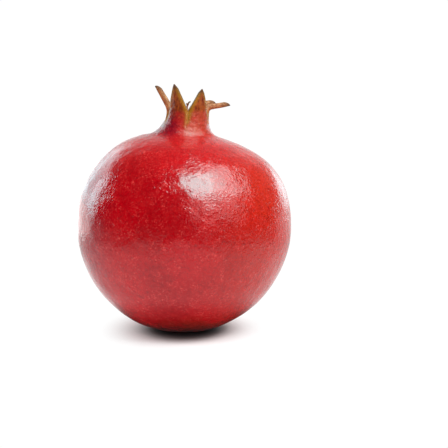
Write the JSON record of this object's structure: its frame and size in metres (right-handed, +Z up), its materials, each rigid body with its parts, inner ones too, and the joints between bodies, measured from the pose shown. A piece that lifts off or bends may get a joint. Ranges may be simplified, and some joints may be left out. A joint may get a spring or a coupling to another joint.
{
  "type": "pomegranate",
  "caption": "Round whole fruit with a leathery rind, a short neck, a crown of pointed sepals round a tuft of dried stamens, and a small flat resting spot.",
  "frame": {"origin": "middle of the fruit's width and depth, on the level surface that it rests on", "axes": "+Z up, from the flat spot to the crown; -Y towards the viewer; +X to the viewer's right"},
  "size_m": [0.0956, 0.0962, 0.111],
  "materials": {
    "rind": "waxy semi-gloss red rind with fine pebbling, golden to brown at the sepals",
    "dry_stamen": "matte, dry tan filaments with brown anthers",
    "bark": "matte, rough woody stalk end"
  },
  "bodies": {
    "root": {"fruit": "rind", "stamen_tuft": "dry_stamen", "stalk_scar": "bark"}
  },
  "joints": []
}
